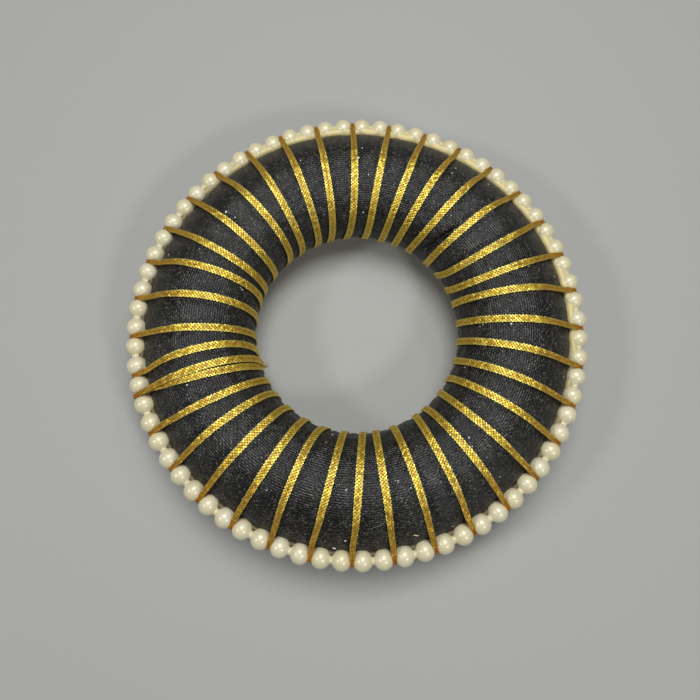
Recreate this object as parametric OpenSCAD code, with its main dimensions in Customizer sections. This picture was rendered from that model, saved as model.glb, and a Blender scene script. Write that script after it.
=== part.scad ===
// Bun ring: a stuffed cloth ring wound with one flat gold braid, with a string of
// imitation pearls round its outer edge. It lies flat on its back, front side up.
// Heights are measured from the surface it lies on, angles from +X towards +Y.

/* [Pearls] */
// Diameter of one pearl
pearl_d = 5; // [4:0.1:6]
// Space between neighbouring pearls on their thread
pearl_gap = 0.12; // [0.1:0.01:0.3]
// Diameter of the hole drilled through a pearl
pearl_hole_d = 0.8; // [0.7:0.05:1]
// Height of the pearls above the middle of the stuffing
pearl_rise = 2.9; // [0:0.1:4]
// Diameter of the thread
thread_d = 0.4; // [0.2:0.05:0.5]

/* [Stuffed ring] */
// Width of the stuffed tube, measured level, over the cloth
pad_w = 28.9; // [24:0.1:32]
// Thickness of the stuffed tube, measured upright, over the cloth
pad_h = 25.6; // [22:0.1:30]
// How far the cloth swells out between two turns of the braid
swell = 0.55; // [0.2:0.05:0.65]
// Space between the pearls and the cloth they lie against
pearl_seat = 0.2; // [0.1:0.05:0.5]

/* [Gold braid] */
// Width of the flat braid
braid_w = 2.2; // [1.6:0.1:2.4]
// Thickness of the flat braid
braid_t = 0.5; // [0.3:0.05:0.6]
// Space between the braid and what it is wound on
braid_clear = 0.16; // [0.1:0.01:0.2]
// Where round the ring the first turn crosses the pearls
first_turn = 197.6; // [0:0.1:360]

/* [Hidden] */
$fn = 48;

// Each turn of the braid from its start: how many degrees round the ring it has
// moved when it reaches the hole, and how far it bows sideways on the way there.
LEAN = 0;
BOW = 1;
turn_rows = [
    [4.5, 1.5], [2.5, 1], [2, -1], [2, -0.5], [3, 0], [5, -2],
    [5, 0.5], [4.5, 0.5], [1.5, -0.5], [0, 0.5], [4.5, 0], [0.5, 0],
    [3.5, -1.5], [1.5, 0], [2.5, -0.5], [3.5, -0.5], [4, -0.5], [5.5, 0],
    [4.5, -2.5], [5, -3.5], [4, 0], [7, -0.5], [6, 0], [4, -0.5],
    [3.5, -0.5], [4, -1.5], [4, -1], [1.5, -0.5], [2, -0.5], [1, -2],
    [3.5, -0.5], [4, -0.5], [1, -2.5], [1, -2], [1.5, 0], [1, -3]
];
// The last pass lies beside and over the first one and is cut off at the hole.
last_row = [2, -1];

turns = len(turn_rows);
// Two pearls lie between neighbouring turns, and one where the winding closes.
pearl_count = 2 * turns - 1;
pearl_step = 360 / pearl_count;
string_r = (pearl_d + pearl_gap) / (2 * sin(pearl_step / 2));

pad_a = pad_w / 2 - swell;
pad_b = pad_h / 2 - swell;
seat_a = pad_w / 2 * sqrt(1 - pow(pearl_rise / (pad_h / 2), 2));
ring_r = string_r - pearl_d / 2 - pearl_seat - seat_a;
mid_z = pad_b + braid_clear + braid_t;
slim = pad_a / ring_r;

// One turn of the winding: between two pearls round their thread, over the front to
// the hole at 180 degrees, and back underneath.
row_step = 15;
hole_at = 180;
// Distance of the braid's underside from the middle of the thread, between pearls.
notch_in = 1.6;
// Where the sideways travel of a turn starts and ends.
travel_from = 20;
// The groove under the braid fades out where the braid leaves the cloth.
groove_front = [30, 45];
groove_back = [330, 360];
groove_side = 0.2;
// The braid narrows on its way from the cloth to the pearls, which pinch it.
shoulder_w = 1.8;
shoulder_at = 0.5;
notch_w = 1.2;
notch_side = 0.16;
notch_dip = 0.07;
// How much of a turn's travel is rounded off at the hole, where it changes direction.
hole_round = 0.12;
// The braid starts underneath, before the first notch, and ends in the hole. Its last
// pass is lifted over the first one, from underneath on.
start_at = -60;
end_at = turns * 360 + 186;
overlay = braid_t + 0.08;
overlay_from = turns * 360 - 90;
overlay_run = 30;

// Area-like measure of a taut strip: it moves round the ring in proportion to this.
function taut(p) = p > hole_at ? 2 * taut(hole_at) - taut(360 - p)
    : -slim * sin(p) / ((1 - slim * slim) * (1 + slim * cos(p)))
    + 2 / pow(1 - slim * slim, 1.5) * PI / 180
    * atan2(sqrt((1 - slim) / (1 + slim)) * sin(p / 2), cos(p / 2));
taut_from = taut(travel_from);
taut_hole = taut(hole_at);
function travel(p) = (taut(min(max(p, travel_from), 360 - travel_from)) - taut_from)
    / (taut_hole - taut_from);

// Sideways travel: straight in taut measure to the hole and on, the corner rounded.
function ramp(x) = x < -hole_round ? 0 : x > hole_round ? x
    : pow(x + hole_round, 2) / (4 * hole_round);
function turn_row(k) = k < 0 ? turn_rows[turns - 1] : k < turns ? turn_rows[k] : last_row;
function notch_angle(k) = k < 0 ? first_turn - pearl_step
    : k >= turns ? first_turn + 360 + (k - turns) * 2 * pearl_step
    : first_turn + 2 * k * pearl_step;
function turn_angle(k, p) = let (
        row = turn_row(k),
        x = travel(p),
        lean = row[LEAN],
        back = notch_angle(k + 1) - notch_angle(k) - lean
    ) notch_angle(k) + lean * x + (back - lean) * ramp(x - 1)
    + (x < 1 ? 4 * row[BOW] * x * (1 - x) : 0);

// Section of the stuffed tube, swollen outward by grow: [distance from axis, height].
function pad_point(p, grow) = [ring_r + (pad_a + grow) * cos(p), (pad_b + grow) * sin(p)];
function pad_normal(p) = atan2(pad_a * sin(p), pad_b * cos(p));
function fade(p, span) = min(max((p - span[0]) / (span[1] - span[0]), 0), 1);
function groove(p) = fade(p, groove_front) - fade(p, groove_back);
function at_angle(q, angle) = [q[0] * cos(angle), q[0] * sin(angle), q[1] + mid_z];

// Four columns of points follow each turn: two beside the braid, two on the swell.
cols = 4;
rows = 360 / row_step;
// A slanting turn takes more of the way round than a straight one.
function slant(k, p) = let (
        across = (turn_angle(k, p + 5) - turn_angle(k, p - 5)) * PI / 180 * pad_point(p, 0)[0]
    ) across / norm(pad_point(p + 5, 0) - pad_point(p - 5, 0));
function side_angle(k, p) = (braid_w / 2 + groove_side) * sqrt(1 + pow(slant(k, p), 2))
    / pad_point(p, 0)[0] * 180 / PI;
function col_angle(k, m, p) = let (
        next = (k + 1) % turns,
        from = turn_angle(k, p) + (m == 0 ? -1 : 1) * side_angle(k, p),
        to = turn_angle(next, p) - side_angle(next, p) + (next == 0 ? 360 : 0)
    ) m == 0 ? from : from + (to - from) * (m - 1) / (cols - 1);
function pad_vertex(c, j) = let (
        k = floor(c / cols),
        m = c % cols,
        p = j * row_step,
        grow = m > 1 ? swell : swell * (1 - groove(p))
    ) at_angle(pad_point(p, grow), col_angle(k, m, p));
// The last row joins the first one a whole turn further on.
function pad_index(c, j) = j < rows ? (c % (cols * turns)) * rows + j
    : ((c + cols) % (cols * turns)) * rows;

module padded_ring() {
    color("#1c1c1c")
        polyhedron(
            points = [for (c = [0:cols * turns - 1], j = [0:rows - 1]) pad_vertex(c, j)],
            faces = [for (c = [0:cols * turns - 1], j = [0:rows - 1], half = [0, 1])
                half == 0 ? [pad_index(c, j), pad_index(c, j + 1), pad_index(c + 1, j + 1)]
                    : [pad_index(c, j), pad_index(c + 1, j + 1), pad_index(c + 1, j)]],
            convexity = 6
        );
}

// A station of the braid in the section: [distance from axis, height, tilt of its outer
// face, width of its inner face, width of its outer face].
TILT = 2;
INNER_W = 3;
OUTER_W = 4;
pearl_at = [string_r, pearl_rise];
function along(tilt) = [cos(tilt), sin(tilt)];
function station(q, tilt, inner_w, outer_w) = [q[0], q[1], tilt, inner_w, outer_w];

// Where a straight line touches both the cloth's groove and the braid's way round the
// thread. The search narrows down the tilt between one inside and one beyond it.
function reach(tilt) = (pearl_at - [ring_r, 0]) * along(tilt) + notch_in - braid_clear
    - norm([pad_a * cos(tilt), pad_b * sin(tilt)]);
function touching(inside, beyond, tries) = let (mid = (inside + beyond) / 2)
    tries == 0 ? mid : reach(mid) > 0 ? touching(mid, beyond, tries - 1)
    : touching(inside, mid, tries - 1);
front_leave = touching(0, 90, 20);
back_leave = touching(0, -90, 20);
function pad_side(tilt) = atan2(pad_b * sin(tilt), pad_a * cos(tilt));
lift_off = pad_side(front_leave);
lift_on = 360 + pad_side(back_leave);

// Width that clears the two pearls at a distance from the middle of the thread.
function clear_w(d) = d >= pearl_d / 2 ? notch_w
    : min(notch_w, 2 * (string_r * sin(pearl_step / 2) - sqrt(pow(pearl_d / 2, 2) - d * d)
        - notch_side));
function notch_station(tilt, lift) = station(
    pearl_at + (notch_in + lift) * along(tilt), tilt,
    clear_w(notch_in + lift - notch_dip), clear_w(notch_in + lift + braid_t));
function pad_station(p, lift) = station(
    pad_point(p, 0) + (braid_clear + lift) * along(pad_normal(p)),
    pad_normal(p), braid_w, braid_w);
function shoulder_station(p, tilt, lift) = let (
        from = pad_station(p, lift),
        to = notch_station(tilt, lift)
    ) station([for (i = [0, 1]) from[i] + shoulder_at * (to[i] - from[i])],
        tilt, shoulder_w, shoulder_w);

// Stops of one turn. The ones from 345 on and up to 20 lie off the cloth, where a stop
// only names a station: the notch with its tilts, and a shoulder on either side.
notch_tilts = [[-3, back_leave], [0, back_leave / 3], [3, front_leave / 3], [6, front_leave]];
turn_stops = concat([0, 3, 6, 20, lift_off], [for (p = [60:row_step:315]) p], [lift_on, 345, 357]);
function braid_station(p, lift) = let (near = p > hole_at ? p - 360 : p)
    near >= -3 && near <= 6 ? notch_station(lookup(near, notch_tilts), lift)
    : p < lift_off ? shoulder_station(lift_off, front_leave, lift)
    : p > lift_on ? shoulder_station(lift_on, back_leave, lift)
    : pad_station(p, lift);

// The whole braid, stop by stop: [place of its inner face, station, angle round the ring].
PLACE = 0;
STATION = 1;
ANGLE = 2;
function lift_at(t) = overlay * fade(t, [overlay_from, overlay_from + overlay_run]);
braid_path = [for (k = [-1:turns], p = turn_stops)
    let (t = 360 * k + p, angle = turn_angle(k, p), st = braid_station(p, lift_at(t)))
        if (t >= start_at && t <= end_at) [at_angle(st, angle), st, angle]];
stops = len(braid_path);
function unit(v) = v / norm(v);
function braid_corners(i) = let (
        here = braid_path[i],
        st = here[STATION],
        run = braid_path[min(i + 1, stops - 1)][PLACE] - braid_path[max(i - 1, 0)][PLACE],
        out = [cos(st[TILT]) * cos(here[ANGLE]), cos(st[TILT]) * sin(here[ANGLE]), sin(st[TILT])],
        side = unit(cross(out, run)),
        inner = here[PLACE],
        outer = inner + out * braid_t
    ) [inner - side * st[INNER_W] / 2, inner + side * st[INNER_W] / 2,
        outer + side * st[OUTER_W] / 2, outer - side * st[OUTER_W] / 2];

module gold_braid() {
    corners = 4;
    end = (stops - 1) * corners;
    color("#d9a521")
        polyhedron(
            points = [for (i = [0:stops - 1], v = braid_corners(i)) v],
            faces = concat(
                [[0, 1, 2], [0, 2, 3]],
                [for (i = [0:stops - 2], v = [0:corners - 1], half = [0, 1])
                    let (a = i * corners + v, b = i * corners + (v + 1) % corners)
                        half == 0 ? [a, a + corners, b + corners] : [a, b + corners, b]],
                [[end, end + 2, end + 1], [end, end + 3, end + 2]]
            ),
            convexity = 10
        );
}

module pearl() {
    difference() {
        sphere(d = pearl_d);
        rotate([90, 0, 0]) cylinder(d = pearl_hole_d, h = 2 * pearl_d, center = true);
    }
}

module pearl_string() {
    color("#ece3c9")
        for (i = [0:pearl_count - 1])
            rotate([0, 0, first_turn + (i + 0.5) * pearl_step])
                translate([string_r, 0, mid_z + pearl_rise]) pearl();
}

module pearl_thread() {
    color("#efe9d8")
        translate([0, 0, mid_z + pearl_rise])
            rotate_extrude() translate([string_r, 0]) circle(d = thread_d);
}

padded_ring();
gold_braid();
pearl_string();
pearl_thread();
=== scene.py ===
# Bun ring: a stuffed black cloth ring wound with one flat gold braid, with a string of
# imitation pearls round its outer edge. It lies on its back on a pale floor.
import bpy
import math
import numpy as np
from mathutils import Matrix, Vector, noise


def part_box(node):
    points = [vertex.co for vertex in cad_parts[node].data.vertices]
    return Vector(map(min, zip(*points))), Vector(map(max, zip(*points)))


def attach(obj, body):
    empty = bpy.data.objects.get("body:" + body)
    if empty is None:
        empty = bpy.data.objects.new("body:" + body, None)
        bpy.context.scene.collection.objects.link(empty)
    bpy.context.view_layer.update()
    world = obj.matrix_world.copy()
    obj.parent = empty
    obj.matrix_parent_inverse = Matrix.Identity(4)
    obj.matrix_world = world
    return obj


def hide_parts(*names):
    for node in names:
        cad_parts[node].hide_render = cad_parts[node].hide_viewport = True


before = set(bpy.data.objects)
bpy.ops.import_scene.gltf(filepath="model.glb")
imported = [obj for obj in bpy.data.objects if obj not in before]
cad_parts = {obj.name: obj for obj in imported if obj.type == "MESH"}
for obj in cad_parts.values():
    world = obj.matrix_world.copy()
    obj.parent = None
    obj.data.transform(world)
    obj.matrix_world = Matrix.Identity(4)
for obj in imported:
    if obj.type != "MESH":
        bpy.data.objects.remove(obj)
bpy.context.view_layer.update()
mm = 0.001


def pickOnly(piece):
    bpy.ops.object.select_all(action="DESELECT")
    piece.select_set(True)
    bpy.context.view_layer.objects.active = piece


def applyModifiers(piece):
    pickOnly(piece)
    for modifier in list(piece.modifiers):
        bpy.ops.object.modifier_apply(modifier=modifier.name)


def readPoints(piece):
    flat = np.empty(len(piece.data.vertices) * 3)
    piece.data.vertices.foreach_get("co", flat)
    return flat.reshape(-1, 3)


def writePoints(piece, points):
    piece.data.vertices.foreach_set("co", np.asarray(points, float).ravel())
    piece.data.update()


def selectParts(piece, kind, wanted):
    # edit mode with the vertices or edges that are wanted selected
    pickOnly(piece)
    bpy.ops.object.mode_set(mode="EDIT")
    bpy.ops.mesh.select_mode(type=kind)
    bpy.ops.mesh.select_all(action="DESELECT")
    bpy.ops.object.mode_set(mode="OBJECT")
    points = readPoints(piece)
    if kind == "VERT":
        for vertex in piece.data.vertices:
            vertex.select = bool(wanted(points[vertex.index]))
    else:
        for edge in piece.data.edges:
            edge.select = bool(wanted(points[list(edge.vertices)]))
    bpy.ops.object.mode_set(mode="EDIT")


def shadeSmooth(piece, angle):
    pickOnly(piece)
    bpy.ops.object.shade_smooth_by_angle(angle=math.radians(angle))


def shadeAllSmooth(piece):
    pickOnly(piece)
    bpy.ops.object.shade_smooth()


def copyPiece(piece):
    # a copy with a mesh of its own
    copy = piece.copy()
    copy.data = piece.data.copy()
    bpy.context.collection.objects.link(copy)
    return copy


def joinPieces(pieces, name):
    pickOnly(pieces[0])
    for piece in pieces:
        piece.select_set(True)
    bpy.ops.object.join()
    pieces[0].name = name
    return pieces[0]


def linear(code):
    # sRGB hex to the linear colour that a shader takes
    parts = [int(code[i:i + 2], 16) / 255 for i in (1, 3, 5)]
    parts = [c / 12.92 if c <= 0.04045 else ((c + 0.055) / 1.055) ** 2.4 for c in parts]
    return (*parts, 1)


def addNode(tree, kind, settings=None, *ordered, **named):
    # settings are the node's own properties. Its inputs come in their order or by name, each a
    # value, a hex colour, a socket that feeds it, or a node that feeds it from its first output
    node = tree.nodes.new("ShaderNode" + kind)
    for name, value in (settings or {}).items():
        setattr(node, name, value)
    for key, value in [*enumerate(ordered), *named.items()]:
        feed = node.inputs[key.replace("_", " ") if key in named else key]
        if isinstance(value, bpy.types.Node):
            value = next(socket for socket in value.outputs if socket.enabled)
        if isinstance(value, bpy.types.NodeSocket):
            tree.links.new(value, feed)
        else:
            feed.default_value = linear(value) if isinstance(value, str) else value
    return node


def addMath(tree, operation, *values):
    return addNode(tree, "Math", {"operation": operation}, *values)


def addMix(tree, data, factor, first, second):
    return addNode(tree, "Mix", {"data_type": data}, Factor=factor, A=first, B=second)


def addRange(tree, value, ends):
    # from the first end where the value is 0 to the second where it is 1
    return addNode(tree, "MapRange", Value=value, To_Min=ends[0], To_Max=ends[1])


def newMaterial(name):
    material = bpy.data.materials.new(name)
    material.use_nodes = True
    tree = material.node_tree
    tree.nodes.clear()
    return material, tree


def finishMaterial(tree, shader):
    output = addNode(tree, "OutputMaterial")
    tree.links.new(shader.outputs["BSDF"], output.inputs["Surface"])


def dress(piece, material):
    piece.data.materials.clear()
    piece.data.materials.append(material)


# camera: it looks at the ring from above and a little from the lower side
view = {
    "place": (-3.05, -40.66, 193.45),
    "turn": (14.228, -0.369, -0.046),
    "lens": 35.78,
    "shiftY": -0.0543,
}
bpy.ops.object.select_all(action="DESELECT")
bpy.ops.object.camera_add(
    location=[c * mm for c in view["place"]],
    rotation=[math.radians(a) for a in view["turn"]])
camera = bpy.context.object
camera.name = "photoCamera"
camera.data.lens = view["lens"]
camera.data.shift_y = view["shiftY"]
camera.data.clip_start = 0.01
bpy.context.scene.camera = camera
print("camera set")


# winding: the sizes that the cloth, the braid and the pearls share, in millimetres and degrees.
# Degrees round the tube start at its outermost point and go over the top to the hole, at 180
winding = {
    "pearlWidth": 5.0,
    "pearlGap": 0.12,
    "pearlRise": 2.9,  # height of the string over the middle of the tube
    "pearlSeat": 0.2,  # how far the pearls stand off the tube
    "tubeWidth": 28.9,
    "tubeHeight": 25.6,
    "swell": 0.55,  # what the cloth stands out between turns
    "braidWidth": 2.2,
    "braidClear": 0.16,  # the braid's underside over the grooves
    "notchIn": 0.98,  # and over the string's centre, in the notches between pearls
    "firstTurn": 197.6,  # degrees round the ring of the first notch
    "travelFrom": 20,  # degrees round the tube where a turn starts to move round the ring
    "holeRound": 0.12,  # how gently it turns back at the hole, as a share of the way
    "startAt": -60,  # the braid's two ends, from the first and the last notch
    "endAt": 187,
    "overlay": 0.58,  # how high its last pass lies over the first
    "grooveFront": (30, 45),  # where the braid comes to press the cloth, and where it leaves it
    "grooveBack": (330, 360),
    # each turn: degrees that it has moved round the ring at the hole, and its sideways bow
    "leanAndBow": (
        (4.5, 1.5), (2.5, 1), (2, -1), (2, -0.5), (3, 0), (5, -2),
        (5, 0.5), (4.5, 0.5), (1.5, -0.5), (0, 0.5), (4.5, 0), (0.5, 0),
        (3.5, -1.5), (1.5, 0), (2.5, -0.5), (3.5, -0.5), (4, -0.5), (5.5, 0),
        (4.5, -2.5), (5, -3.5), (4, 0), (7, -0.5), (6, 0), (4, -0.5),
        (3.5, -0.5), (4, -1.5), (4, -1), (1.5, -0.5), (2, -0.5), (1, -2),
        (3.5, -0.5), (4, -0.5), (1, -2.5), (1, -2), (1.5, 0), (1, -3)),
    "lastPass": (2, -1),
}
w = winding  # short name, because much below reads from it
turns = len(w["leanAndBow"])
pearlCount = 2 * turns - 1
pearlStep = 360 / pearlCount
stringRadius = (w["pearlWidth"] + w["pearlGap"]) / (2 * math.sin(math.radians(pearlStep / 2)))
tubeA = w["tubeWidth"] / 2 - w["swell"]
tubeB = w["tubeHeight"] / 2 - w["swell"]
seatReach = w["tubeWidth"] / 2 * math.sqrt(1 - (w["pearlRise"] / (w["tubeHeight"] / 2)) ** 2)
ringRadius = stringRadius - w["pearlWidth"] / 2 - w["pearlSeat"] - seatReach
slim = tubeA / ringRadius
padLow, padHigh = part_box("padded_ring")
midZ = (padLow[2] + padHigh[2]) / 2 / mm


def taut(p):
    # a taut strip moves round the ring in proportion to this
    if p > 180:
        return 2 * taut(180) - taut(360 - p)
    half = math.radians(p / 2)
    bend = math.atan2(math.sqrt((1 - slim) / (1 + slim)) * math.sin(half), math.cos(half))
    return (2 / (1 - slim ** 2) ** 1.5 * bend
            - slim * math.sin(2 * half) / ((1 - slim ** 2) * (1 + slim * math.cos(2 * half))))


tautFrom = taut(w["travelFrom"])
tautHole = taut(180)


def travel(p):
    p = min(max(p, w["travelFrom"]), 360 - w["travelFrom"])
    return (taut(p) - tautFrom) / (tautHole - tautFrom)


def ramp(x):
    h = w["holeRound"]
    return 0 if x < -h else x if x > h else (x + h) ** 2 / (4 * h)


def notchAngle(k):
    if k < 0:
        return w["firstTurn"] - pearlStep
    if k >= turns:
        return w["firstTurn"] + 360 + (k - turns) * 2 * pearlStep
    return w["firstTurn"] + 2 * k * pearlStep


def turnAngle(k, p):
    lean, bow = w["lastPass"] if k >= turns else w["leanAndBow"][k]
    x = travel(p)
    back = notchAngle(k + 1) - notchAngle(k) - lean
    bowed = 4 * bow * x * (1 - x) if x < 1 else 0
    return notchAngle(k) + lean * x + (back - lean) * ramp(x - 1) + bowed


def tubePoint(p, grow):
    # distance from the axis and height over the middle of the tube
    a = math.radians(p)
    return np.array((ringRadius + (tubeA + grow) * math.cos(a), (tubeB + grow) * math.sin(a)))


def tubeTilt(p):
    a = math.radians(p)
    return math.degrees(math.atan2(tubeA * math.sin(a), tubeB * math.cos(a)))


def along(tilt):
    return np.array((math.cos(math.radians(tilt)), math.sin(math.radians(tilt))))


def turned(x, y, angle):
    return (x * math.cos(angle) - y * math.sin(angle), x * math.sin(angle) + y * math.cos(angle))


def fade(x, low, high):
    return min(max((x - low) / (high - low), 0), 1)


def smoothFade(x, low, high):
    f = fade(x, low, high)
    return f * f * (3 - 2 * f)


stringPoint = np.array((stringRadius, w["pearlRise"]))


def touching(inside, beyond):
    # tilt of the straight run of braid that touches both the groove and the way round the thread
    for halving in range(30):
        tilt = (inside + beyond) / 2
        grooveReach = np.linalg.norm(np.array((tubeA, tubeB)) * along(tilt)) + w["braidClear"]
        stringReach = (stringPoint - (ringRadius, 0)) @ along(tilt) + w["notchIn"]
        if stringReach > grooveReach:
            inside = tilt
        else:
            beyond = tilt
    return tilt


frontLeave = touching(0, 90)
backLeave = touching(0, -90)


def tubeSide(tilt):
    a = math.radians(tilt)
    return math.degrees(math.atan2(tubeB * math.sin(a), tubeA * math.cos(a)))


liftOff = tubeSide(frontLeave)
liftOn = 360 + tubeSide(backLeave)
print("winding worked out: string radius %.2f mm" % stringRadius)


# stuffed ring: black cotton poplin sewn to a tube and filled with loose fibre. A flat grid is
# bent round, its columns following the turns, and swells between them
stuffed = {
    "columns": 8,
    "rows": 72,
    "grooveSide": 0.1,
    # how far the cloth stands out between turns, before the simulation and without it
    "startSwell": 0.14,
    "fullSwell": 0.34,
    "swellRound": 0.7,
    # and behind the pearls, where no turn presses it: its middle, reach and fading in degrees
    "outerSwell": 0.72,
    "outerMiddle": 8,
    "outerReach": 30,
    "outerFade": 18,
    # the cloth simulation, made larger because it is tuned for bigger things
    "simScale": 20,
    "frames": 20,
    "pressure": 4.0,
    "growth": 0.05,
    "stretchStiffness": 10,
    "shearStiffness": 4,
    "bendStiffness": 0.2,
    "cap": 0.26,
    # lumps of the filling, and puckers at the hole
    "lump": 0.12,
    "lumpSize": 9.0,
    "lumpMiddle": 0.3,
    "pucker": 0.05,
    "puckerCount": 150,
    "puckerStray": 3,
    "puckerStraySize": 6,
    "puckerFrom": 0.35,
    "settle": 0.02,
}


def slant(k, p):
    across = math.radians(turnAngle(k, p + 5) - turnAngle(k, p - 5)) * tubePoint(p, 0)[0]
    return across / np.linalg.norm(tubePoint(p + 5, 0) - tubePoint(p - 5, 0))


def grooveHalf(k, p):
    half = (w["braidWidth"] / 2 + stuffed["grooveSide"]) * math.sqrt(1 + slant(k, p) ** 2)
    return math.degrees(half / tubePoint(p, 0)[0])


def clothPoint(column, p):
    # place of a grid point on the cloth, and how far across a swell it lies, 0 in a groove
    k, m = divmod(column, stuffed["columns"])
    whole, k = divmod(k, turns)
    half = grooveHalf(k, p)
    angle = turnAngle(k, p)
    share = 0
    if m < 2:
        angle -= half * (1 - m)
    else:
        nextTurn = (k + 1) % turns
        start = angle + half
        end = turnAngle(nextTurn, p) - grooveHalf(nextTurn, p) + (360 if nextTurn == 0 else 0)
        share = (m - 2) / (stuffed["columns"] - 2)
        angle = start + (end - start) * share
    return angle + 360 * whole, share


def pressed(p):
    # how firmly the braid lies on the cloth here
    return smoothFade(p, *w["grooveFront"]) - smoothFade(p, *w["grooveBack"])


def makeStuffedRing():
    s = stuffed
    bpy.ops.object.select_all(action="DESELECT")
    bpy.ops.mesh.primitive_grid_add(
        x_subdivisions=s["columns"] * turns, y_subdivisions=s["rows"], size=2)
    ring = bpy.context.object
    ring.name = "stuffedRing"
    flat = readPoints(ring)
    columns = np.rint((flat[:, 0] + 1) / 2 * s["columns"] * turns).astype(int)
    rows = np.rint((flat[:, 1] + 1) / 2 * s["rows"]).astype(int)
    full = s["startSwell"]
    held = np.zeros(len(flat))
    points = np.empty_like(flat)
    for i, (column, row) in enumerate(zip(columns, rows)):
        p = row * 360 / s["rows"]
        angle, share = clothPoint(int(column), p)
        grip = pressed(p)
        swell = math.sin(math.pi * share) ** s["swellRound"] if 0 < share < 1 else 0
        away = abs((p + 180 - s["outerMiddle"]) % 360 - 180)
        behind = smoothFade(s["outerReach"] - away, 0, s["outerFade"])
        outer = s["fullSwell"] + (s["outerSwell"] - s["fullSwell"]) * behind
        grow = full * swell * grip + outer * (1 - grip)
        rho, height = tubePoint(p, grow)
        a = math.radians(angle)
        points[i] = (rho * math.cos(a), rho * math.sin(a), midZ + height)
        held[i] = grip if share in (0, 1) else 0
    writePoints(ring, points * mm)
    group = ring.vertex_groups.new(name="heldByBraid")
    for i, weight in enumerate(held):
        group.add([i], weight, "REPLACE")
    pickOnly(ring)
    bpy.ops.object.mode_set(mode="EDIT")
    bpy.ops.mesh.select_all(action="SELECT")
    bpy.ops.mesh.remove_doubles(threshold=0.01 * mm)
    bpy.ops.mesh.normals_make_consistent(inside=False)
    bpy.ops.object.mode_set(mode="OBJECT")
    return ring


def inflate(ring):
    # the filling presses the cloth out between the turns that hold it
    s = stuffed
    start = readPoints(ring)
    writePoints(ring, start * s["simScale"])
    cloth = ring.modifiers.new("filling", "CLOTH")
    cloth.settings.quality = 5
    cloth.settings.use_pressure = True
    cloth.settings.uniform_pressure_force = s["pressure"]
    cloth.settings.effector_weights.gravity = 0
    cloth.settings.vertex_group_mass = "heldByBraid"
    cloth.settings.shrink_min = -s["growth"]
    cloth.settings.tension_stiffness = s["stretchStiffness"]
    cloth.settings.compression_stiffness = s["stretchStiffness"]
    cloth.settings.shear_stiffness = s["shearStiffness"]
    cloth.settings.bending_stiffness = s["bendStiffness"]
    cloth.point_cache.frame_start = 1
    cloth.point_cache.frame_end = s["frames"]
    for number in range(1, s["frames"] + 1):
        bpy.context.scene.frame_set(number)
    applyModifiers(ring)
    moved = readPoints(ring) / s["simScale"] - start
    far = np.linalg.norm(moved, axis=1)
    print("filling: cloth moved by %.2f mm at most, %.3f mm on average"
          % (far.max() / mm, far.mean() / mm))
    capped = moved * np.minimum(1, s["cap"] * mm / np.maximum(far, 1e-9))[:, None]
    writePoints(ring, start + capped)
    bpy.context.scene.frame_set(1)


def ease(ring):
    # lumps of the loose filling, and puckers where the cloth is gathered at the hole
    s = stuffed
    points = readPoints(ring) / mm
    middle = np.array((0, 0, midZ))
    for i, point in enumerate(points):
        flat = point - middle
        angle = math.atan2(flat[1], flat[0])
        axis = np.array((math.cos(angle), math.sin(angle), 0)) * ringRadius
        out = flat - axis
        out /= np.linalg.norm(out)
        lump = noise.noise(Vector(point / s["lumpSize"]))
        gather = smoothFade(-out @ axis / ringRadius, s["puckerFrom"], 1)
        stray = s["puckerStray"] * noise.noise(Vector(point / s["puckerStraySize"]))
        fold = math.sin(angle * s["puckerCount"] + stray)
        points[i] += out * (
            s["lump"] * (lump - s["lumpMiddle"]) + s["pucker"] * gather * fold - s["settle"])
    writePoints(ring, points * mm)


# crease: one fold of spare cloth, from the crest of the upper right side down into the hole
crease = {
    # degrees round the tube, degrees round the ring
    "line": ((111, 43.6), (124, 44.6), (140, 46.6), (165, 49.5)),
    "deep": 1.4,
    "halfWidth": (0.4, 1.0),
    "steep": 0.6,
}


def foldCloth(ring):
    points = readPoints(ring) / mm
    angles = np.degrees(np.arctan2(points[:, 1], points[:, 0]))
    inward = ringRadius - np.hypot(points[:, 0], points[:, 1])
    sides = np.degrees(np.arctan2(points[:, 2] - midZ, -inward))
    steps, places = zip(*crease["line"])
    off = np.radians(angles - np.interp(sides, steps, places)) * (ringRadius - inward)
    half = np.interp(sides, (steps[0], steps[-1]), crease["halfWidth"])
    # steep on one side, easy on the other
    half = np.where(off < 0, half * crease["steep"], half)
    depth = crease["deep"] * np.exp(-np.abs(off / half) ** 1.5)
    depth *= np.interp(sides, (steps[0] - 2, steps[1], steps[-1] - 5, steps[-1]), (0, 1, 1, 0))
    for i in np.flatnonzero(depth > 0.01):
        a, p = math.radians(angles[i]), math.radians(sides[i])
        out = np.array((math.cos(p) * math.cos(a), math.cos(p) * math.sin(a), math.sin(p)))
        points[i] -= out * depth[i]
    writePoints(ring, points * mm)


stuffedRing = makeStuffedRing()
inflate(stuffedRing)
ease(stuffedRing)
smoothing = stuffedRing.modifiers.new("smoothing", "SUBSURF")
smoothing.levels = smoothing.render_levels = 1
applyModifiers(stuffedRing)
foldCloth(stuffedRing)
shadeAllSmooth(stuffedRing)
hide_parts("padded_ring")
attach(stuffedRing, "root")
print("stuffed ring: %d faces" % len(stuffedRing.data.polygons))


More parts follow.
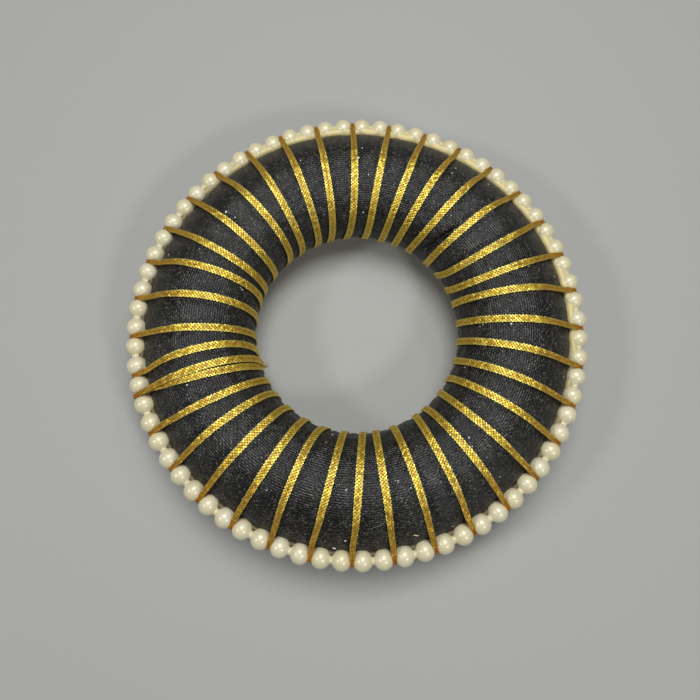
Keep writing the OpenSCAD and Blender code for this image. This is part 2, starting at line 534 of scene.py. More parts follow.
# gold braid: a flat braid of metallic polyester yarn. One cell of its weave is shaped,
# repeated along a straight band and wound on
braid = {
    "cell": 0.82,
    # heights of the section over its underside, and how narrow that side is
    "crown": 0.46,
    "middle": 0.4,
    "edge": 0.42,
    "ribDrop": 0.07,
    "edgeIn": 0.08,
    "backNarrow": 0.9,
    # steps of the path, in degrees round the tube, and in numbers at the notch and beyond
    "pathStep": 3,
    "notchSteps": 8,
    "straightSteps": 10,
    "lookAlong": 0.4,
    # distances from the notch and the widths there; the last two lie at the share of the
    # straight run that is given and at its end, where the braid comes to lie on the cloth
    "opensAt": (0, 0.8, 1.6, 2.5),
    "opensShare": 0.6,
    "opensOut": (0.85, 1.0, 1.25, 1.4, 1.5, 1.6),
    # it is at its full width this many degrees further on
    "flatAfter": 25,
    "flatWidth": 1.86,
    # the pinched braid folds: its middle sinks and its sides rise
    "foldMiddle": 0.9,
    "foldSides": 0.3,
    # unevenness of hand winding, and of single stitches
    "wander": 0.14,
    "wanderLength": 14,
    "loose": 0.02,
    "seed": 11,
}


def straightRun(tilt, side, sign):
    # stations between the notch and the cloth; the braid opens out as it leaves the pearls
    notch = stringPoint + w["notchIn"] * along(tilt)
    cloth = tubePoint(side, 0) + w["braidClear"] * along(tilt)
    reach = np.linalg.norm(cloth - notch)
    opensAt = (*braid["opensAt"], reach * braid["opensShare"], reach)
    start = 180 - sign * (180 - w["travelFrom"])
    stations = []
    for i in range(1, braid["straightSteps"]):
        share = i / braid["straightSteps"]
        width = np.interp(share * reach, opensAt, braid["opensOut"])
        p = start + (side - start) * max(0, share * 2 - 1)
        stations.append((notch + (cloth - notch) * share, tilt, width, p))
    return stations


def turnStations(k):
    # places of the braid's underside from one notch to the next, each with its tilt, its
    # width and the degrees round the tube that it counts for
    b = braid
    stations = []
    for i in range(b["notchSteps"] + 1):
        tilt = backLeave + (frontLeave - backLeave) * i / b["notchSteps"]
        point = stringPoint + w["notchIn"] * along(tilt)
        stations.append((point, tilt, b["opensOut"][0], i / 2))
    stations += straightRun(frontLeave, liftOff, 1)
    steps = round((liftOn - liftOff) / b["pathStep"])
    for i in range(steps + 1):
        p = liftOff + (liftOn - liftOff) * i / steps
        tilt = tubeTilt(p)
        further = min(p - liftOff, liftOn - p)
        width = np.interp(further, (0, b["flatAfter"]), (b["opensOut"][-1], b["flatWidth"]))
        stations.append((tubePoint(p, 0) + w["braidClear"] * along(tilt), tilt, width, p))
    stations += reversed(straightRun(backLeave, liftOn, -1))
    # the turn before the first is the last one, a whole round earlier
    turn, back = (k + turns, 360) if k < 0 else (k, 0)
    return [(point, tilt, width, 360 * k + p, turnAngle(turn, p) - back)
            for point, tilt, width, p in stations]


def braidStations():
    # it starts underneath, before its first notch, and its last pass lies over the first one
    stations = [s for k in range(-1, turns + 1) for s in turnStations(k)]
    top = 360 * turns
    return [(point + w["overlay"] * fade(t, top - 90, top - 60) * along(tilt), tilt, width, angle)
            for point, tilt, width, t, angle in stations if w["startAt"] <= t <= top + w["endAt"]]


def spinePlaces(stations):
    places = []
    for point, tilt, width, angle in stations:
        a = math.radians(angle)
        places.append((point[0] * math.cos(a), point[0] * math.sin(a), midZ + point[1]))
    return np.array(places)


stations = braidStations()
spine = spinePlaces(stations)
run = np.concatenate(([0], np.cumsum(np.linalg.norm(np.diff(spine, axis=0), axis=1))))
braidLength = run[-1]
print("braid: %.0f mm long, %d stations" % (braidLength, len(stations)))


def braidFrame(at):
    # place, sideways and outward directions and width at lengths along the braid
    def onPath(values, where):
        return np.stack([np.interp(where, run, column) for column in values.T], axis=1)

    outward = []
    for point, tilt, width, angle in stations:
        a, t = math.radians(angle), math.radians(tilt)
        outward.append((math.cos(t) * math.cos(a), math.cos(t) * math.sin(a), math.sin(t)))
    ahead = onPath(spine, np.minimum(at + braid["lookAlong"], braidLength))
    behind = onPath(spine, np.maximum(at - braid["lookAlong"], 0))
    forward = ahead - behind
    forward /= np.linalg.norm(forward, axis=1)[:, None]
    sideways = np.cross(onPath(np.array(outward), at), forward)
    sideways /= np.linalg.norm(sideways, axis=1)[:, None]
    width = np.interp(at, run, [s[2] for s in stations])
    return onPath(spine, at), sideways, np.cross(forward, sideways), width


def makeBraid():
    b = braid
    cell = b["cell"]
    half = w["braidWidth"] / 2
    back = half * b["backNarrow"]
    # section of the band by corner: sideways place, height, and whether its stitches come first
    section = {
        0: (half, b["edge"], True), 45: (half / 2, b["crown"], False), 90: (0, b["middle"], True),
        135: (-half / 2, b["crown"], False), 180: (-half, b["edge"], True),
        225: (-back, 0, None), 270: (0, 0, None), 315: (back, 0, None)}
    bpy.ops.object.select_all(action="DESELECT")
    bpy.ops.mesh.primitive_cylinder_add(
        vertices=8, radius=1, depth=cell, end_fill_type="NOTHING", rotation=(0, math.pi / 2, 0))
    band = bpy.context.object
    band.name = "goldBraid"
    bpy.ops.object.transform_apply(location=True, rotation=True, scale=True)
    selectParts(band, "EDGE", lambda ends: abs(ends[0][0] - ends[1][0]) > cell / 2)
    bpy.ops.mesh.subdivide(number_cuts=1)
    bpy.ops.object.mode_set(mode="OBJECT")
    points = readPoints(band)
    for i, (x, y, z) in enumerate(points):
        corner = round(math.degrees(math.atan2(z, y)) % 360) % 360
        side, height, first = section[corner]
        # a stitch stands up where those beside it dip
        if first is not None and first == (abs(x) > cell / 4):
            height -= b["ribDrop"]
            side -= math.copysign(b["edgeIn"], side) if corner in (0, 180) else 0
        points[i] = (x, side, height)
    writePoints(band, points)
    repeat = band.modifiers.new("repeat", "ARRAY")
    repeat.count = int(braidLength / cell)
    repeat.use_relative_offset = False
    repeat.use_constant_offset = True
    repeat.constant_offset_displace = (cell, 0, 0)
    repeat.use_merge_vertices = True
    repeat.merge_threshold = 0.01
    applyModifiers(band)
    # its two open ends are closed
    selectParts(band, "EDGE", lambda ends: False)
    bpy.ops.mesh.select_non_manifold()
    bpy.ops.mesh.edge_face_add()
    bpy.ops.mesh.select_all(action="DESELECT")
    bpy.ops.object.mode_set(mode="OBJECT")
    return band


def windOn(band):
    # the straight band is laid along its path, narrower where the pearls pinch it
    b = braid
    points = readPoints(band)
    low, high = points[:, 0].min(), points[:, 0].max()
    at = (points[:, 0] - low) / (high - low) * braidLength
    place, sideways, outward, width = braidFrame(at)
    steps = np.arange(0, braidLength + 2)
    wander = [noise.noise(Vector((step / b["wanderLength"], 3.1, 0))) for step in steps]
    shift = b["wander"] * np.interp(at, steps, wander)
    # it can't wander where the pearls hold it
    shift *= np.clip((width - b["opensOut"][-1]) / (b["flatWidth"] - b["opensOut"][-1]), 0, 1)
    narrow = width / w["braidWidth"]
    wound = place + sideways * (points[:, 1] * narrow + shift)[:, None]
    rng = np.random.default_rng(b["seed"])
    onTop = points[:, 2] > 0.1
    inMiddle = np.abs(points[:, 1]) < 0.1
    lift = np.where(onTop, rng.uniform(-1, 1, len(points)) * b["loose"], 0)
    pinch = 1 - np.minimum(width / b["flatWidth"], 1)
    folded = np.where(inMiddle, 1 - b["foldMiddle"] * pinch, 1 + b["foldSides"] * pinch)
    wound += outward * (points[:, 2] * folded + lift)[:, None]
    # its own map in millimetres: along the braid and across it
    uv = band.data.uv_layers.active or band.data.uv_layers.new(name="braidRun")
    corners = np.empty(len(band.data.loops), int)
    band.data.loops.foreach_get("vertex_index", corners)
    onBand = np.stack((points[corners, 0] - low, points[corners, 1]), axis=1)
    uv.data.foreach_set("uv", onBand.ravel())
    writePoints(band, wound * mm)
    # how pinched the braid is here: its material paints shade by this
    pinched = band.data.attributes.new("pinched", "FLOAT", "POINT")
    amount = (b["flatWidth"] - width) / (b["flatWidth"] - b["opensOut"][1])
    pinched.data.foreach_set("value", np.clip(amount, 0, 1))


goldBraid = makeBraid()
windOn(goldBraid)
shadeSmooth(goldBraid, 55)
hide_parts("gold_braid")
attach(goldBraid, "root")
print("gold braid: %d faces" % len(goldBraid.data.polygons))


# frayed end: the yarns of the braid's cut end stand apart and point into the hole
frayed = {
    "wisps": 14,
    "length": (1.4, 3.0),
    "thick": 0.22,
    "cuts": 4,
    # they start inside the braid's end, across this much of it, and rise by these shares
    "startBack": 0.3,
    "startHeight": 0.25,
    "startWidth": 0.42,
    "spread": 0.3,
    "rise": (0.15, 0.9),
    "seed": 5,
}


def makeFrayedEnd():
    f = frayed
    rng = np.random.default_rng(f["seed"])
    start = np.array([braidLength - f["startBack"]])
    place, sideways, outward, width = (part[0] for part in braidFrame(start))
    forward = np.cross(sideways, outward)
    bpy.ops.object.select_all(action="DESELECT")
    bpy.ops.mesh.primitive_cone_add(
        vertices=4, radius1=f["thick"] / 2, radius2=f["thick"] / 5, depth=1, location=(0, 0, 0.5))
    first = bpy.context.object
    bpy.ops.object.transform_apply(location=True, rotation=True, scale=True)
    selectParts(first, "EDGE", lambda ends: abs(ends[0][2] - ends[1][2]) > 0.5)
    bpy.ops.mesh.subdivide(number_cuts=f["cuts"])
    bpy.ops.object.mode_set(mode="OBJECT")
    shape = readPoints(first)
    x, y, s = shape.T  # s runs from 0 at the root of a wisp to 1 at its tip
    wisps = []
    for i in range(f["wisps"]):
        wisp = first if i == 0 else copyPiece(first)
        side = (i + 0.5) / f["wisps"] * 2 - 1
        # the outer yarns are shorter, and the ones that rise most reach less far
        reach = rng.uniform(*f["length"]) * (1.1 - 0.5 * abs(side))
        drift, lift = rng.uniform(-1, 1) * f["spread"], rng.uniform(*f["rise"])
        across = side * width * f["startWidth"] * (1 - 0.5 * s) + drift * s + x
        up = f["startHeight"] + reach * lift * s ** 1.5 + y
        ahead = reach * s * (1.1 - 0.6 * lift)
        placed = place + sideways * across[:, None] + outward * up[:, None]
        writePoints(wisp, (placed + forward * ahead[:, None]) * mm)
        wisps.append(wisp)
    return joinPieces(wisps, "frayedEnd")


frayedEnd = makeFrayedEnd()
shadeSmooth(frayedEnd, 50)
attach(frayedEnd, "root")
print("frayed end: %d faces" % len(frayedEnd.data.polygons))


# pearl string: moulded beads with a pearl coating, drilled and strung so that they touch
pearl = {
    "segments": 32,
    "rings": 22,
    # the ball is cut off this many rings from its pole, and a collar joins it to the next
    "cutRings": 2.5,
    "collar": 0.97,
    "hole": 0.4,
    "meets": 0.02,
    # share by which a pearl is wider across the string, and how far it sinks into the cloth
    "bigger": (0.05, 0.075),
    "inward": 0.25,
    "seed": 7,
}


def makePearl():
    # a ball with a low collar round each end of its hole
    radius = w["pearlWidth"] / 2
    bpy.ops.object.select_all(action="DESELECT")
    bpy.ops.mesh.primitive_uv_sphere_add(
        segments=pearl["segments"], ring_count=pearl["rings"], radius=radius,
        rotation=(math.pi / 2, 0, 0))
    bead = bpy.context.object
    bpy.ops.object.transform_apply(location=True, rotation=True, scale=True)
    cut = radius * math.cos(pearl["cutRings"] * math.pi / pearl["rings"])
    selectParts(bead, "VERT", lambda point: abs(point[1]) > cut)
    bpy.ops.mesh.delete(type="VERT")
    bpy.ops.mesh.select_non_manifold()
    bpy.ops.mesh.extrude_edges_move()
    bpy.ops.object.mode_set(mode="OBJECT")
    reach = (w["pearlWidth"] + w["pearlGap"]) / 2 + pearl["meets"]
    for vertex in bead.data.vertices:
        if vertex.select:
            x, y, z = vertex.co
            away = math.hypot(x, z)
            vertex.co = (x * pearl["collar"] / away, math.copysign(reach, y),
                         z * pearl["collar"] / away)
    bpy.ops.object.mode_set(mode="EDIT")
    bpy.ops.mesh.extrude_edges_move()
    narrow = pearl["hole"] / pearl["collar"]
    bpy.ops.transform.resize(value=(narrow, 1, narrow))
    bpy.ops.mesh.bridge_edge_loops()
    bpy.ops.mesh.select_all(action="SELECT")
    bpy.ops.mesh.normals_make_consistent(inside=False)
    bpy.ops.object.mode_set(mode="OBJECT")
    return bead


def makePearlString():
    rng = np.random.default_rng(pearl["seed"])
    first = makePearl()
    first.data.attributes.new("pearlShade", "FLOAT", "POINT")
    shape = readPoints(first)
    height = midZ + w["pearlRise"]
    beads = []
    for i in range(pearlCount):
        bead = first if i == 0 else copyPiece(first)
        roll = rng.uniform(0, 2 * math.pi)
        size = 1 + rng.uniform(*pearl["bigger"])
        angle = math.radians(w["firstTurn"] + (i + 0.5) * pearlStep)
        x, y, z = (shape * (size, 1, size)).T
        x, z = turned(x, z, roll)
        x, y = turned(x + stringRadius - pearl["inward"], y, angle)
        writePoints(bead, np.stack((x, y, z + height), axis=1) * mm)
        shade = bead.data.attributes["pearlShade"]
        shade.data.foreach_set("value", np.full(len(shape), rng.uniform()))
        beads.append(bead)
    return joinPieces(beads, "pearlString")


pearlString = makePearlString()
shadeSmooth(pearlString, 50)
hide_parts("pearl_string")
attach(pearlString, "root")
print("pearls: %d faces" % len(pearlString.data.polygons))


# glue seam: an uneven bead of set glue in the crook between the pearls and the cloth
glue = {
    "inFromString": 1.7,
    "thick": 0.85,
    "uneven": 0.4,
    "unevenSize": 1.7,
    "perPearl": 6,
    "around": 10,
    # it grows thicker and higher towards the ring's upper right side, and is painted paler there,
    # which is painted light:
    # the direction, and how far along it this starts and is complete, as shares of the radius
    "plentyAndLitAt": (0.5, 0.87, 0),
    "plentyAndLitFrom": (-0.2, 0.65),
    "plentyThick": 1.15,
    "plentyLift": 0.9,
}


def makeGlueSeam():
    radius = stringRadius - glue["inFromString"]
    bpy.ops.object.select_all(action="DESELECT")
    bpy.ops.mesh.primitive_torus_add(
        major_segments=glue["perPearl"] * pearlCount, minor_segments=glue["around"],
        major_radius=radius * mm, minor_radius=glue["thick"] * mm,
        location=(0, 0, (midZ + w["pearlRise"]) * mm))
    seam = bpy.context.object
    seam.name = "glueSeam"
    bpy.ops.object.transform_apply(location=True, rotation=True, scale=True)
    points = readPoints(seam) / mm
    middle = np.array((0, 0, midZ + w["pearlRise"]))
    plentyAndLit = np.zeros(len(points))
    for i, point in enumerate(points):
        flat = point - middle
        axis = np.array((flat[0], flat[1], 0))
        axis *= radius / np.linalg.norm(axis)
        toPlenty = axis @ np.array(glue["plentyAndLitAt"]) / np.linalg.norm(axis)
        plentyAndLit[i] = smoothFade(toPlenty, *glue["plentyAndLitFrom"])
        thicker = 1 + glue["uneven"] * noise.noise(Vector(point / glue["unevenSize"]))
        thicker *= 1 + (glue["plentyThick"] / glue["thick"] - 1) * plentyAndLit[i]
        axis[2] = glue["plentyLift"] * plentyAndLit[i]
        points[i] = middle + axis + (flat - axis + (0, 0, axis[2])) * thicker
    writePoints(seam, points * mm)
    amount = seam.data.attributes.new("plentyAndLit", "FLOAT", "POINT")
    amount.data.foreach_set("value", plentyAndLit)
    return seam


glueSeam = makeGlueSeam()
shadeAllSmooth(glueSeam)
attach(glueSeam, "root")
print("glue seam: %d faces" % len(glueSeam.data.polygons))


# lint: flecks and one hair that lie on the cloth, and a crumb of the glue
lint = {
    # degrees round the ring, degrees round the tube, size in millimetres
    "flecks": (
        (44, 115, 0.8), (58, 54, 0.6), (58, 65, 0.5), (87, 138, 0.5), (109, 70, 0.4),
        (264, 22, 0.8), (266, 90, 0.6), (283, 79, 0.5), (285, 62, 0.5)),
    "crumb": (285, 34, 1.5),
    "hair": ((272.3, 52), (278.2, 59)),
    "hairThick": 0.06,
    "hairBow": 0.4,
    "hairCuts": 15,
    # how rough and flat a fleck is, and how high all of it lies on the cloth
    "rough": 0.4,
    "flat": (1, 0.8, 0.35),
    "liesAt": 0.08,
    "seed": 3,
}


def onCloth(angle, p):
    # place and outward direction on the cloth, in millimetres
    a, t = math.radians(angle), math.radians(tubeTilt(p))
    out = Vector((math.cos(t) * math.cos(a), math.cos(t) * math.sin(a), math.sin(t)))
    rho, height = tubePoint(p, 5)  # the ray starts 5 mm above the cloth
    above = Vector((rho * math.cos(a), rho * math.sin(a), midZ + height))
    found, place, normal, face = stuffedRing.ray_cast(above * mm, -out)
    return np.array(place) / mm, np.array(normal)


def makeFleck(angle, p, size, rng):
    bpy.ops.object.select_all(action="DESELECT")
    bpy.ops.mesh.primitive_ico_sphere_add(subdivisions=1, radius=0.5)
    fleck = bpy.context.object
    shape = readPoints(fleck)
    shape *= 1 + rng.uniform(-lint["rough"], lint["rough"], (len(shape), 1))
    place, out = onCloth(angle, p)
    turn = Vector(out).to_track_quat("Z", "Y").to_matrix()
    x, y, z = shape.T
    skewed = turned(x, y, rng.uniform(0, math.pi))[0]
    flat = np.stack((skewed, y, z), axis=1) * lint["flat"] * size
    writePoints(fleck, (flat @ np.array(turn).T + place + out * lint["liesAt"]) * mm)
    return fleck


def makeHair():
    start, end = lint["hair"]
    bpy.ops.object.select_all(action="DESELECT")
    bpy.ops.mesh.primitive_cylinder_add(vertices=5, radius=lint["hairThick"] / 2, depth=1)
    hair = bpy.context.object
    selectParts(hair, "EDGE", lambda ends: abs(ends[0][2] - ends[1][2]) > 0.5)
    bpy.ops.mesh.subdivide(number_cuts=lint["hairCuts"])
    bpy.ops.object.mode_set(mode="OBJECT")
    points = readPoints(hair)
    for i, (x, y, z) in enumerate(points):
        s = z + 0.5
        angle = start[0] + (end[0] - start[0]) * s + lint["hairBow"] * math.sin(math.pi * s)
        place, out = onCloth(angle, start[1] + (end[1] - start[1]) * s)
        points[i] = place + out * (lint["liesAt"] + y) + (0, 0, x)
    writePoints(hair, points * mm)
    return hair


def makeLint():
    rng = np.random.default_rng(lint["seed"])
    bpy.context.view_layer.update()  # so that the rays find the cloth where it is now
    flecks = [makeFleck(*fleck, rng) for fleck in lint["flecks"]]
    return joinPieces(flecks + [makeHair()], "lint")


clothLint = makeLint()
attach(clothLint, "root")
glueCrumb = makeFleck(*lint["crumb"], np.random.default_rng(lint["seed"]))
glueCrumb.name = "glueCrumb"
crumbAmount = glueCrumb.data.attributes.new("plentyAndLit", "FLOAT", "POINT")
crumbAmount.data.foreach_set("value", np.ones(len(glueCrumb.data.vertices)))
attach(glueCrumb, "root")
print("lint: %d faces" % len(clothLint.data.polygons))


# looks of the cloth
poplin = {
    # the real threads lie about 0.3 mm apart, too fine to show, so they are drawn coarser
    "threadStep": 0.56,
    # the black of the dye in the hollows, and the lighter grey the raised threads are painted:
    # painted sheen, brightest on a random few
    "hollow": "#010101",
    "thread": "#8C867A",
    # how much the weft shows over the warp, and how rare bright threads are
    "weftShare": 0.55,
    "rarity": 4.7,
    "roughness": (0.5, 0.33),
    "specular": 0.38,
    "threadHeight": 0.1,
    # small random lint: specks in a millimetre, largest radius as a share of their spacing
    "speck": "#F4F4F0",
    "specksInMm": 0.34,
    "speckSize": 0.1,
}


def clothMaterial():
    # cotton poplin, woven and piece-dyed black: nearly matt, with a soft grey bloom on the
    # crest, a fine square weave, and the pale lint that black cotton picks up
    step = poplin["threadStep"]
    material, tree = newMaterial("blackPoplin")
    coords = addNode(tree, "TexCoord")
    # the ring's own map, in millimetres and in threads
    around = 2 * math.pi * ringRadius
    across = math.pi * (tubeA + tubeB)
    flat = addNode(tree, "Mapping", Vector=coords.outputs["UV"], Scale=(around, across, 1))
    threads = addNode(tree, "Mapping", Vector=coords.outputs["UV"],
                      Scale=(round(around / step), round(across / step), 1))
    split = addNode(tree, "SeparateXYZ", Vector=threads)
    warp = addMath(tree, "PINGPONG", split.outputs["X"], 0.5)
    weft = addMath(tree, "PINGPONG", split.outputs["Y"], 0.5)
    over = addNode(tree, "TexChecker", Vector=threads, Scale=1)
    crossed = addMix(tree, "FLOAT", over.outputs["Fac"], warp, weft)
    height = addMix(tree, "FLOAT", poplin["weftShare"], crossed, weft)
    slub = addNode(tree, "TexNoise", Vector=flat, Scale=0.9, Detail=2, Roughness=0.5)
    uneven = addMath(tree, "MULTIPLY", height, slub)
    raised = addNode(tree, "MapRange", Value=uneven, From_Min=0.02, From_Max=0.24)
    # each crossing has a brightness of its own, and so has each short length of thread
    halves = addNode(tree, "VectorMath", {"operation": "MULTIPLY"}, threads, (2, 2, 1))
    crossing = addNode(tree, "VectorMath", {"operation": "FLOOR"}, halves)
    own = addNode(tree, "TexWhiteNoise", {"noise_dimensions": "2D"}, Vector=crossing)
    stretch = addMix(tree, "VECTOR", over.outputs["Fac"], (0.25, 1, 1), (1, 0.25, 1))
    lengths = addNode(tree, "VectorMath", {"operation": "MULTIPLY"}, halves, stretch)
    length = addNode(tree, "VectorMath", {"operation": "FLOOR"}, lengths)
    ownLength = addNode(tree, "TexWhiteNoise", {"noise_dimensions": "2D"}, Vector=length)
    both = addMix(tree, "FLOAT", 0.5, own, ownLength)
    ownShare = addMath(tree, "POWER", both, poplin["rarity"])
    paintedSheenShare = addMath(tree, "MULTIPLY", raised, ownShare)
    # raised threads are painted lighter, by a random share from thread to thread, over the black
    # dye: painted sheen
    dyeAndSheen = addMix(tree, "RGBA", paintedSheenShare, poplin["hollow"], poplin["thread"])
    # the raised threads shine a little, the hollows between them don't
    shine = addRange(tree, raised, poplin["roughness"])
    spots = addNode(tree, "TexVoronoi", Vector=flat, Scale=poplin["specksInMm"])
    ownSpot = addNode(tree, "SeparateColor", Color=spots.outputs["Color"])
    reach = addNode(tree, "MapRange", Value=ownSpot.outputs["Red"], From_Min=0.2, From_Max=1.0,
                    To_Min=0.0, To_Max=poplin["speckSize"])
    speck = addMath(tree, "LESS_THAN", spots.outputs["Distance"], reach)
    strength = addMath(tree, "MULTIPLY", speck, ownSpot.outputs["Green"])
    specked = addMix(tree, "RGBA", strength, dyeAndSheen, poplin["speck"])
    bump = addNode(tree, "Bump", Strength=0.8, Distance=poplin["threadHeight"] * mm, Height=raised)
    shader = addNode(tree, "BsdfPrincipled", Base_Color=specked, Roughness=shine, Normal=bump)
    shader.inputs["Specular IOR Level"].default_value = poplin["specular"]
    shader.inputs["Sheen Weight"].default_value = 0.02
    shader.inputs["Sheen Roughness"].default_value = 0.5
    finishMaterial(tree, shader)
    return material


# looks of the braid
zari = {
    # two shades of foil, the rim colour that is a painted highlight on the edges, the pinched
    # colour that is painted shade, and the core in the gaps
    "foil": ("#C6961F", "#F4DA4C"),
    "rim": "#F6E878",
    "pinched": "#E6AA3A",
    "core": "#7C4410",
    # how far a gap can be closed or open, in stitches, and where its edge ends
    "gaps": (-0.14, 0.05),
    "gapEdge": 0.33,
    "slant": 0.12,
    "facets": 5.0,  # how strongly single stitches tip
    "stitchHeight": 0.12,
    # in the gaps and on the foil
    "roughness": (0.8, 0.5),
    "metallic": (0.3, 1.0),
}


def braidMaterial():
    # metallised polyester yarn, gold, plaited over a brown core: each short stitch of foil
    # catches the light at its own angle, and copper brown shows between them
    material, tree = newMaterial("goldZariYarn")
    coords = addNode(tree, "TexCoord")
    split = addNode(tree, "SeparateXYZ", Vector=coords.outputs["UV"])
    # columns of stitches, a quarter of the width apart
    column = addMath(tree, "DIVIDE", split.outputs["Y"], w["braidWidth"] / 4)
    columnNumber = addMath(tree, "ROUND", column)
    alongRun = addMath(tree, "DIVIDE", split.outputs["X"], braid["cell"])
    # the stitches of one column lie between those of the next
    phase = addMath(tree, "MULTIPLY_ADD", columnNumber, 0.5, alongRun)
    # and each slants a little
    within = addMath(tree, "SUBTRACT", column, columnNumber)
    phase = addMath(tree, "MULTIPLY_ADD", within, zari["slant"], phase)
    number = addMath(tree, "FLOOR", phase)
    place = addMath(tree, "FRACT", phase)
    name = addNode(tree, "CombineXYZ", X=number, Y=columnNumber)
    own = addNode(tree, "TexWhiteNoise", {"noise_dimensions": "2D"}, Vector=name)
    chance = addNode(tree, "SeparateColor", Color=own.outputs["Color"])
    hump = addMath(tree, "PINGPONG", place, 0.5)
    # some gaps between stitches are closed, others open
    closed = addRange(tree, chance.outputs["Red"], zari["gaps"])
    crown = addNode(tree, "MapRange", {"interpolation_type": "SMOOTHSTEP"}, Value=hump,
                    From_Min=closed, From_Max=zari["gapEdge"])
    foil = addMix(tree, "RGBA", chance.outputs["Blue"], *zari["foil"])
    side = addMath(tree, "ABSOLUTE", column)
    # the braid's edges are painted paler: a painted highlight where the rounded edges catch the
    # light
    rim = addNode(tree, "MapRange", Value=side, From_Min=0.2, From_Max=1.9)
    edgeHighlighted = addMix(tree, "RGBA", rim, foil, zari["rim"])
    # where the pearls pinch the braid it is painted a deeper orange: painted shade, for the dimmer
    # light on it there
    pinched = addNode(tree, "Attribute", {"attribute_name": "pinched"})
    pinchShaded = addMix(tree, "RGBA", pinched.outputs["Fac"], edgeHighlighted, zari["pinched"])
    tone = addMix(tree, "RGBA", crown, zari["core"], pinchShaded)
    gloss = addRange(tree, crown, zari["roughness"])
    # each stitch tips a little along the braid and across it
    tip = addMath(tree, "SUBTRACT", chance.outputs["Red"], 0.5)
    roll = addMath(tree, "SUBTRACT", chance.outputs["Green"], 0.5)
    tipped = addMath(tree, "MULTIPLY", place, tip)
    rolled = addMath(tree, "MULTIPLY", side, roll)
    facet = addMath(tree, "ADD", tipped, rolled)
    height = addMath(tree, "MULTIPLY_ADD", facet, zari["facets"], crown)
    bump = addNode(tree, "Bump", Strength=0.6, Distance=zari["stitchHeight"] * mm, Height=height)
    metal = addRange(tree, crown, zari["metallic"])
    shader = addNode(tree, "BsdfPrincipled", Base_Color=tone, Metallic=metal, Roughness=gloss,
                     Normal=bump)
    shader.inputs["Coat Weight"].default_value = 0.1
    shader.inputs["Coat Roughness"].default_value = 0.3
    finishMaterial(tree, shader)
    return material


# looks of the pearls
lacquer = {
    # a pearl's own cream lies between these two, and its clouds are deeper
    "cream": ("#DCD6C0", "#D6CFAC"),
    "cloud": "#D6CA9E",
    "cloudScale": 420,  # clouds about 2.4 mm wide
    "roughness": 0.5,
    "skinRoughness": 0.19,
}


def pearlMaterial():
    # moulded ABS beads dipped in pearl lacquer: cream, with a soft glow under a glossy skin
    material, tree = newMaterial("pearlLacquer")
    coords = addNode(tree, "TexCoord")
    shade = addNode(tree, "Attribute", {"attribute_name": "pearlShade"})
    cloud = addNode(tree, "TexNoise", Vector=coords.outputs["Object"], Scale=lacquer["cloudScale"],
                    Detail=2)
    cream = addMix(tree, "RGBA", shade.outputs["Fac"], *lacquer["cream"])
    tone = addMix(tree, "RGBA", cloud, cream, lacquer["cloud"])
    bump = addNode(tree, "Bump", Strength=0.15, Distance=0.05 * mm, Height=cloud)
    shader = addNode(tree, "BsdfPrincipled", Base_Color=tone, Roughness=lacquer["roughness"],
                     IOR=1.45, Normal=bump)
    shader.inputs["Metallic"].default_value = 0.05
    shader.inputs["Coat Weight"].default_value = 1
    shader.inputs["Coat Roughness"].default_value = lacquer["skinRoughness"]
    finishMaterial(tree, shader)
    return material


def threadMaterial():
    # twisted polyester beading thread, cream: matt, with a fine slanting twist
    material, tree = newMaterial("beadingThread")
    coords = addNode(tree, "TexCoord")
    # the twist is about half a millimetre long
    twist = addNode(tree, "TexWave", {"bands_direction": "DIAGONAL"},
                    Vector=coords.outputs["Object"], Scale=700)
    tone = addMix(tree, "RGBA", twist.outputs["Fac"], "#B8A988", "#E8DFC4")
    shader = addNode(tree, "BsdfPrincipled", Base_Color=tone, Roughness=0.8)
    finishMaterial(tree, shader)
    return material


def lintMaterial():
    # cotton lint: matt off-white fibre
    material, tree = newMaterial("cottonLint")
    coords = addNode(tree, "TexCoord")
    # its fibres bunch every third of a millimetre
    cloud = addNode(tree, "TexNoise", Vector=coords.outputs["Object"], Scale=3000, Detail=1)
    tone = addMix(tree, "RGBA", cloud, "#C8C6C0", "#F4F2EC")
    shader = addNode(tree, "BsdfPrincipled", Base_Color=tone, Roughness=0.9)
    finishMaterial(tree, shader)
    return material


# looks of the glue
glueFinish = {
    # browns where the glue lies thin over the black cloth and in painted shade, and a pale cream
    # of painted light where there is plenty
    "thinAndShaded": ("#3A301A", "#6A5A38"),
    "plentyAndLit": "#D4C48C",
    "cloudScale": 600,  # clouds about 1.7 mm wide
    "through": (1.0, 0.7, 0.35),  # mm that red, green and blue light go into it
}


def glueMaterial():
    # hot-melt glue, set: translucent tan, uneven and half glossy; painted brown where thin and
    # shaded, pale where lit
    material, tree = newMaterial("hotMeltGlue")
    coords = addNode(tree, "TexCoord")
    cloud = addNode(tree, "TexNoise", Vector=coords.outputs["Object"],
                    Scale=glueFinish["cloudScale"], Detail=3)
    thinAndShaded = addMix(tree, "RGBA", cloud, *glueFinish["thinAndShaded"])
    # the upper right side is painted pale: painted light; the browns elsewhere are painted shade
    plentyAndLit = addNode(tree, "Attribute", {"attribute_name": "plentyAndLit"})
    tone = addMix(tree, "RGBA", plentyAndLit.outputs["Fac"], thinAndShaded, glueFinish["plentyAndLit"])
    bump = addNode(tree, "Bump", Strength=0.4, Distance=0.2 * mm, Height=cloud)
    shader = addNode(tree, "BsdfPrincipled", Base_Color=tone, Roughness=0.5, IOR=1.49, Normal=bump)
    shader.inputs["Subsurface Weight"].default_value = 0.3
    shader.inputs["Subsurface Radius"].default_value = [c * mm for c in glueFinish["through"]]
    shader.inputs["Subsurface Scale"].default_value = 1
    finishMaterial(tree, shader)
    return material


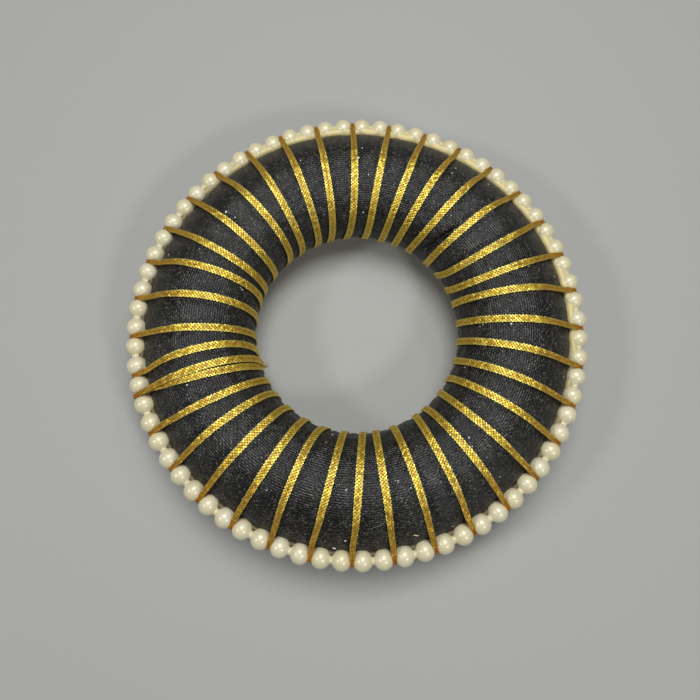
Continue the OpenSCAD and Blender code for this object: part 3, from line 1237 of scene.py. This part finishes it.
dress(stuffedRing, clothMaterial())
dress(goldBraid, braidMaterial())
dress(pearlString, pearlMaterial())
dress(frayedEnd, goldBraid.data.materials[0])
dress(glueSeam, glueMaterial())
dress(glueCrumb, glueSeam.data.materials[0])
dress(clothLint, lintMaterial())
dress(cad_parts["pearl_thread"], threadMaterial())
print("materials set")


# studio: a pale floor, a large soft light above and three small ones that give the pearls
# their points of light
studio = {
    "floor": "#A2A29E",
    "floorSize": 1.6,
    "world": "#CECECE",
    "worldStrength": 0.05,
    "lightColour": (0.98, 0.99, 1.0),
    # place in metres, radius in metres, power in watts
    "lights": {
        "softKey": ((0.011, 0.147, 0.626), 0.18, 3.2),
        "glintRight": ((0.36, -0.42, 0.58), 0.07, 1.5),
        "glintLeft": ((-0.54, -0.12, 0.56), 0.065, 1.3),
        "glintBack": ((0.3, 0.35, 0.7), 0.06, 0.45),
    },
}


def floorMaterial():
    # matt painted board, pale grey: a plain ground with only a fine grain, about 1 mm
    material, tree = newMaterial("paleBoard")
    coords = addNode(tree, "TexCoord")
    grain = addNode(tree, "TexNoise", Vector=coords.outputs["Object"], Scale=900, Detail=2)
    bump = addNode(tree, "Bump", Strength=0.05, Distance=0.05 * mm, Height=grain)
    shader = addNode(tree, "BsdfPrincipled", Roughness=0.7, Normal=bump)
    shader.inputs["Base Color"].default_value = linear(studio["floor"])
    finishMaterial(tree, shader)
    return material


def setStudio():
    bpy.ops.object.select_all(action="DESELECT")
    bpy.ops.mesh.primitive_plane_add(size=studio["floorSize"])
    floor = bpy.context.object
    floor.name = "paleFloor"
    dress(floor, floorMaterial())
    for name, (place, radius, power) in studio["lights"].items():
        bpy.ops.object.select_all(action="DESELECT")
        bpy.ops.object.light_add(type="AREA", location=place)
        lamp = bpy.context.object
        lamp.name = name
        lamp.data.shape = "DISK"
        lamp.data.size = 2 * radius
        lamp.data.energy = power
        lamp.data.color = studio["lightColour"]
        lamp.rotation_euler = (-Vector(place)).to_track_quat("-Z", "Y").to_euler()
    world = bpy.data.worlds.new("studioAir")
    world.use_nodes = True
    background = world.node_tree.nodes["Background"]
    background.inputs["Color"].default_value = linear(studio["world"])
    background.inputs["Strength"].default_value = studio["worldStrength"]
    bpy.context.scene.world = world
    bpy.context.scene.view_settings.view_transform = "Standard"


setStudio()
print("studio set")
